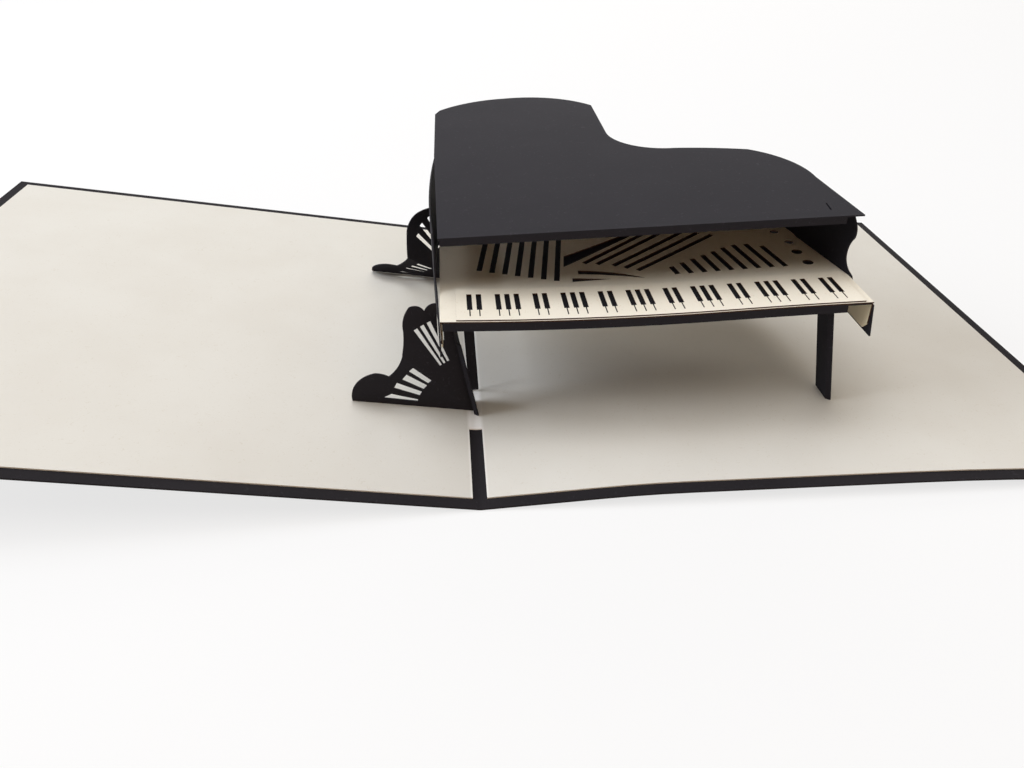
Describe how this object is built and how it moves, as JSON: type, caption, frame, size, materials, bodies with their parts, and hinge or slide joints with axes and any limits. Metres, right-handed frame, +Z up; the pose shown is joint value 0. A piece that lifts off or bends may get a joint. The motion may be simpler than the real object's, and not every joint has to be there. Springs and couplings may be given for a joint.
{
  "type": "pop-up card",
  "caption": "Square black greeting card lying open with a cream lining and a laser-cut paper grand piano standing across its spine.",
  "frame": {"origin": "on the table, at the middle of the open card's footprint", "axes": "+X across the pages to the right, +Y back along the spine, +Z up from the table"},
  "size_m": [0.2984, 0.15, 0.0488],
  "materials": {
    "cover_card": "matt black card",
    "black_card": "matt black card with dark laser-cut edges",
    "cream_paper": "smooth matt cream paper",
    "cream_card": "matt cream card with brown laser-cut edges"
  },
  "bodies": {
    "root": {"cover": "cover_card", "lining": "cream_paper", "spine_wall": "black_card", "spine_strut": "black_card", "right_leg": "black_card", "tray": "black_card", "soundboard": "cream_card", "keyboard": "cream_card", "left_side": "black_card", "right_side": "black_card", "lid": "black_card", "front_bracket": "black_card", "rear_bracket": "black_card"}
  },
  "joints": []
}
